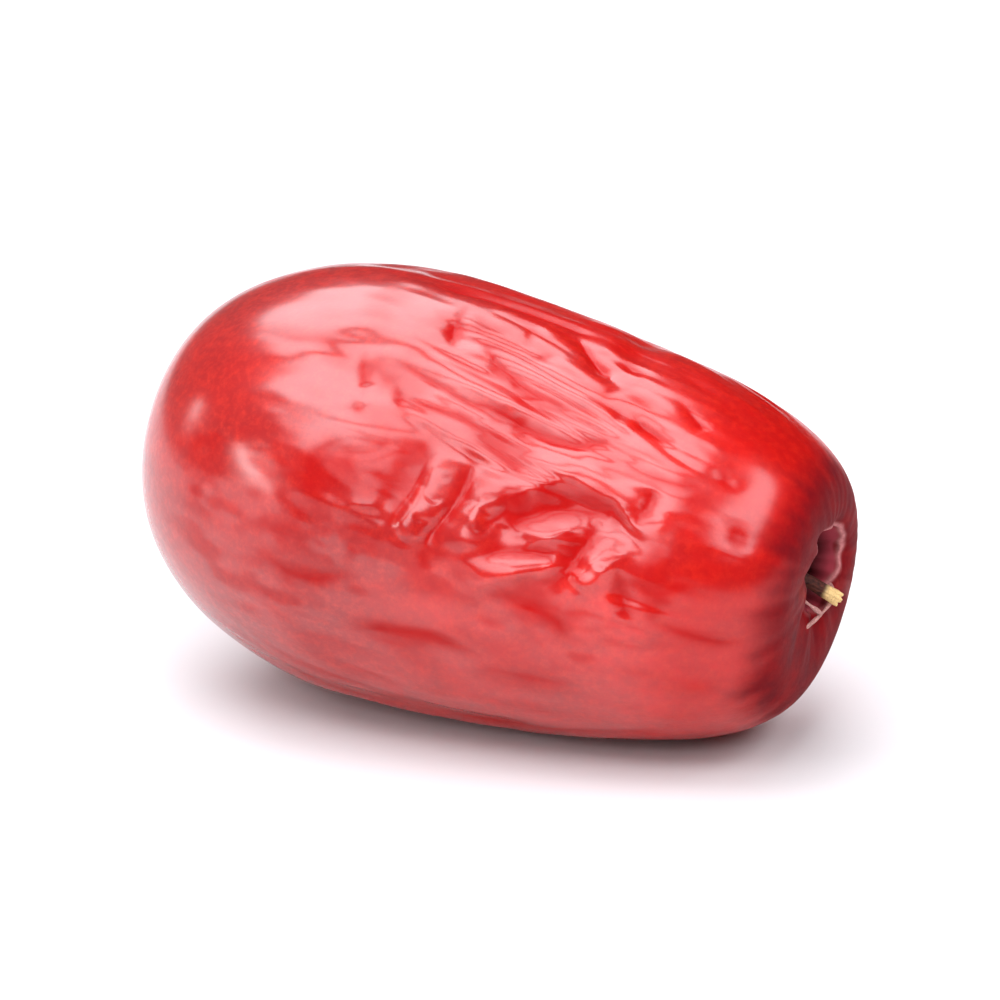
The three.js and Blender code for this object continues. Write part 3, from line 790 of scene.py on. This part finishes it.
# The stalk stub: the dry end of the stalk, broken off short. It grows out of the floor of the stem
# cavity, brown and fibrous and pale where it broke, its brown darkened as painted shade, and torn
# strands still tie it to the cavity's rim. Places on it are millimetres along the fruit, across it and
# up from its axis.
STUB_ROOT = (44.7, 1.0, 0.8)
STUB_COURSE = (1, math.tan(math.radians(14)), -math.tan(math.radians(20)))
STUB_BEND = (0, 0.8, -0.65)
STUB_LENGTH = 4.1
STUB_SIDES = 48
STUB_SHAFT = 3.85
STUB_RADII = ([0, 0.5, 1.8, 3.4, 3.85], [0.47, 0.43, 0.4, 0.46, 0.5])
STRAND_RADIUS = 0.15
STRAND_SIDES = 10
STRAND_RINGS = 60
STRANDS = [
    [
        (46.6, 4.2, -0.7), (47.6, 3.9, -1.0), (47.95, 2.6, -1.5), (47.9, 1.2, -1.8),
        (47.75, 0.0, -2.0), (47.5, -0.8, -2.3), (46.9, -1.3, -2.5),
    ],
    [(46.0, -2.3, 0.9), (46.8, -1.4, 0.2), (47.6, -0.2, -0.9), (47.9, 1.0, -1.75), (47.5, 1.6, -2.2)],
]
fruit_turn = np.array([axis, side, top])


def tube_net(course, radii):
    """Rings of points in metres round a course that is given in millimetres along, across and up."""
    forward = np.gradient(course, axis=0)
    forward /= np.linalg.norm(forward, axis=1)[:, None]
    sideward = np.cross(forward, (0.3, 0.2, 1.0))
    sideward /= np.linalg.norm(sideward, axis=1)[:, None]
    upward = np.cross(sideward, forward)
    angle = (np.arange(radii.shape[1]) * 2 * math.pi / radii.shape[1])[None, :, None]
    out = np.cos(angle) * sideward[:, None] + np.sin(angle) * upward[:, None]
    return np.array(blossom_end) + (course[:, None] + radii[..., None] * out) @ fruit_turn * MM


# The stub is fibrous all along, and its broken tip is ragged and sunk in the middle
shaft = np.linspace(0, STUB_SHAFT, 50)
stub_at = np.concatenate([[-0.02], shaft, [3.97, 4.04, 4.05, 4.06, 4.07]])[:, None]
stub_radius = np.concatenate([[0], np.interp(shaft, *STUB_RADII), [0.49, 0.43, 0.3, 0.15, 0]])[:, None]
sunk = np.concatenate([np.zeros(len(shaft) + 3), [0.02, 0.10, 0.14]])[:, None]
direction = np.array(STUB_COURSE) / np.linalg.norm(STUB_COURSE)
course = np.array(STUB_ROOT) + stub_at * direction + (stub_at / STUB_LENGTH) ** 2 * np.array(STUB_BEND)
angle = np.arange(STUB_SIDES)[None] * 2 * math.pi / STUB_SIDES
fibres = wavy(
    angle,
    (0.06, 7, 1.4 * np.sin(1.3 * stub_at)),
    (0.05, 13, 2 * np.sin(0.9 * stub_at + 1)),
    (0.03, 21, 1.5 * stub_at),
)
ragged_tip = wavy(angle, (0.10, 5, 0.4), (0.07, 11, 2))
ragged_tip = ragged_tip * ease(stub_at, 3.5, 3.97) * np.clip(stub_radius / 0.45, 0, 1)
stub_net = tube_net(course, stub_radius * (1 + fibres))
stub_net = stub_net + (ragged_tip - sunk)[..., None] * (direction @ fruit_turn) * MM
stub = closed_net("jujube_stalk_stub", stub_net)
from_root = np.stack(fruit_places(vertex_values(stub.data, "co")), axis=1) - np.array(STUB_ROOT)
keep_values(stub.data, "broken", ease(from_root @ direction, 3.15, 3.6))
keep_values(stub.data, "strand", np.zeros(len(from_root)))

# The strands are uneven threads, closed at both ends, and joined to the stub's mesh
pieces = [stub]
share = np.linspace(0, 1, STRAND_RINGS)
for number, controls in enumerate(np.array(controls) for controls in STRANDS):
    past_first = 2 * controls[:1] - controls[1:2]
    past_last = 2 * controls[-1:] - controls[-2:-1]
    padded = np.concatenate([past_first, controls, past_last, controls[-1:]])
    near, weights = spline(share * (len(controls) - 1))
    course = np.einsum("ar,ark->rk", weights, padded[near + 1])
    radii = STRAND_RADIUS + wavy(share, (0.04, 9, number), (0.025, 23, 0))
    radii[[0, -1]] = 0
    strand = closed_net("strand", tube_net(course, radii[:, None] * np.ones((1, STRAND_SIDES))))
    keep_values(strand.data, "broken", np.zeros(len(strand.data.vertices)))
    keep_values(strand.data, "strand", np.ones(len(strand.data.vertices)))
    pieces.append(strand)
bpy.ops.object.select_all(action="DESELECT")
for piece in pieces:
    piece.select_set(True)
bpy.context.view_layer.objects.active = stub
bpy.ops.object.join()

# The bark's browns, darkened as painted shade
SHADED_BARK_DARK = linear(46, 18, 16)
SHADED_BARK_LIGHT = linear(98, 50, 38)
BROKEN_WOOD = linear(240, 208, 142)
BROKEN_FLECKS = linear(150, 104, 60)
# The strands' pale pink, partly their own colour and partly a painted highlight
STRAND_PINK_AND_HIGHLIGHT = linear(214, 158, 150)
wood, shade = new_material("jujube_stalk")
place = shade.place()
drawn_out = shade.node("ShaderNodeMapping", {}, {"Vector": place, "Scale": (0.25, 1.0, 1.0)})
streaks = shade.noise(drawn_out, 0.25, 3.0).between(0.35, 0.65)
flecks = shade.noise(place, 0.12, 2.0).between(0.5, 0.7)
broken = shade.kept("broken")
brown = streaks.mix(SHADED_BARK_DARK, SHADED_BARK_LIGHT)
brown = broken.mix(brown, BROKEN_WOOD)
brown = (broken * flecks * 0.6).mix(brown, BROKEN_FLECKS)
brown = (shade.kept("strand") * (0.6 + 0.4 * flecks)).mix(brown, STRAND_PINK_AND_HIGHLIGHT)
ribs = shade.node("ShaderNodeBump", {}, {"Height": streaks, "Strength": 0.5, "Distance": 0.06 * MM})
shade.node(
    "ShaderNodeBsdfPrincipled", {},
    {"Base Color": brown, "Roughness": 0.65 + 0.15 * streaks, "Normal": ribs, "Specular IOR Level": 0.3},
).cover()
stub.data.materials.clear()
stub.data.materials.append(wood)
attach(stub, "root")
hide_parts("stalk_stub")

# The floor: a plain pale surface, painted matt, that the fruit rests on. It is wide enough to fill
# the view from every side.
FLOOR_SIZE = 8.0
FLOOR_GREY = (0.66, 0.66, 0.66, 1.0)
bpy.ops.object.select_all(action="DESELECT")
bpy.ops.mesh.primitive_plane_add(size=FLOOR_SIZE, location=(0, 0, 0))
floor = bpy.context.active_object
floor.name = "floor"
paint, shade = new_material("floor_paint")
shade.node("ShaderNodeBsdfPrincipled", {}, {"Base Color": FLOOR_GREY, "Roughness": 0.9}).cover()
floor.data.materials.append(paint)

# The camera: a long lens, a little above the fruit and turned towards its stem end. The frame's width
# is that of the view at the fruit, in metres.
CAMERA_TURN = math.radians(23.7)
CAMERA_RISE = math.radians(20.5)
CAMERA_AWAY = 0.48
FRAME_WIDTH = 0.0674
SENSOR_WIDTH = 36.0
AIM = (24.41, 0.175, -2.26)
back = Vector((
    math.sin(CAMERA_TURN) * math.cos(CAMERA_RISE),
    -math.cos(CAMERA_TURN) * math.cos(CAMERA_RISE),
    math.sin(CAMERA_RISE),
))
bpy.ops.object.camera_add(location=blossom_end + Vector(AIM) * MM + back * CAMERA_AWAY)
camera = bpy.context.active_object
camera.rotation_mode = "QUATERNION"
camera.rotation_quaternion = (-back).to_track_quat("-Z", "Y")
camera.data.sensor_width = SENSOR_WIDTH
camera.data.lens = SENSOR_WIDTH * CAMERA_AWAY / FRAME_WIDTH
camera.data.clip_start = 0.01
bpy.context.scene.camera = camera

# The light: a bank of soft panels overhead in a dim room, with narrow gaps between them, and two
# strips low on the left. The panels' middles and sizes are given per metre of height over the fruit,
# to the right of the camera's view and towards the camera, and those of the strips in metres.
PANEL_HEIGHT = 0.45
FRUIT_MIDDLE = 0.015
PANEL_COLOUR = (0.98, 0.98, 1.03)
PANELS = [
    ("front_panel", "RECTANGLE", (-0.61, 0.75), (1.78, 0.5), 0, 5.0),
    ("middle_panel", "RECTANGLE", (-0.485, 0.15), (1.53, 0.5), 0, 5.0),
    ("back_panel", "RECTANGLE", (-0.275, -0.8), (1.15, 1.1), 0, 4.2),
    ("right_panel", "ELLIPSE", (0.86, 0.85), (0.74, 2.0), 0, 4.4),
    ("low_panel", "RECTANGLE", (-1.2, 2.28), (1.1, 2.4), 34, 5.0),
]
STRIPS_LEFT = 0.52
STRIPS = [
    ("left_strip", 0.154, 0.089, (0.045, 0.16), 29, 11.0),
    ("far_strip", -0.154, 0.137, (0.025, 0.10), 10, 10.0),
]
ROOM_RIGHT = (0.10, 0.025, 0.02, 1)
ROOM_LEFT = (0.25, 0.25, 0.25, 1)
sideways = Vector((math.cos(CAMERA_TURN), math.sin(CAMERA_TURN), 0))
forwards = Vector((math.sin(CAMERA_TURN), -math.cos(CAMERA_TURN), 0))


def soft_light(name, shape, centre, turned, width, depth, brightness):
    """A flat light that isn't seen itself, as bright per area whatever its size."""
    bpy.ops.object.light_add(type="AREA", location=centre)
    made = bpy.context.active_object
    made.name = name
    made.rotation_mode = "QUATERNION"
    made.rotation_quaternion = turned
    made.data.shape = shape
    made.data.size = width
    made.data.size_y = depth
    made.data.energy = brightness * math.pi * width * depth
    made.visible_camera = False
    return made


for name, shape, (right, front), (width, depth), swing, brightness in PANELS:
    centre = (sideways * right + forwards * front) * PANEL_HEIGHT
    centre.z = FRUIT_MIDDLE + PANEL_HEIGHT
    turned = Quaternion((0, 0, 1), CAMERA_TURN - math.radians(swing))
    width, depth = width * PANEL_HEIGHT, depth * PANEL_HEIGHT
    panel = soft_light(name, shape, centre, turned, width, depth, brightness)
    panel.data.color = PANEL_COLOUR
for name, front, rise, (width, length), lean, brightness in STRIPS:
    centre = sideways * -STRIPS_LEFT + forwards * front + Vector((0, 0, rise))
    turned = sideways.to_track_quat("-Z", "Y") @ Quaternion((0, 0, 1), math.radians(lean))
    soft_light(name, "RECTANGLE", centre, turned, width, length, brightness)

world = bpy.data.worlds.new("dim_room")
world.use_nodes = True
room = Shade(world.node_tree)
towards = room.node("ShaderNodeTexCoord", {}, {}, output="Generated")
leftwards = room.node(
    "ShaderNodeVectorMath", {"operation": "DOT_PRODUCT"}, {0: towards, 1: -sideways}, output="Value"
)
dim = leftwards.between(-0.3, 0.9).mix(ROOM_RIGHT, ROOM_LEFT)
world.node_tree.links.new(dim.socket, world.node_tree.nodes["Background"].inputs["Color"])
bpy.context.scene.world = world
bpy.context.scene.view_settings.view_transform = "Standard"
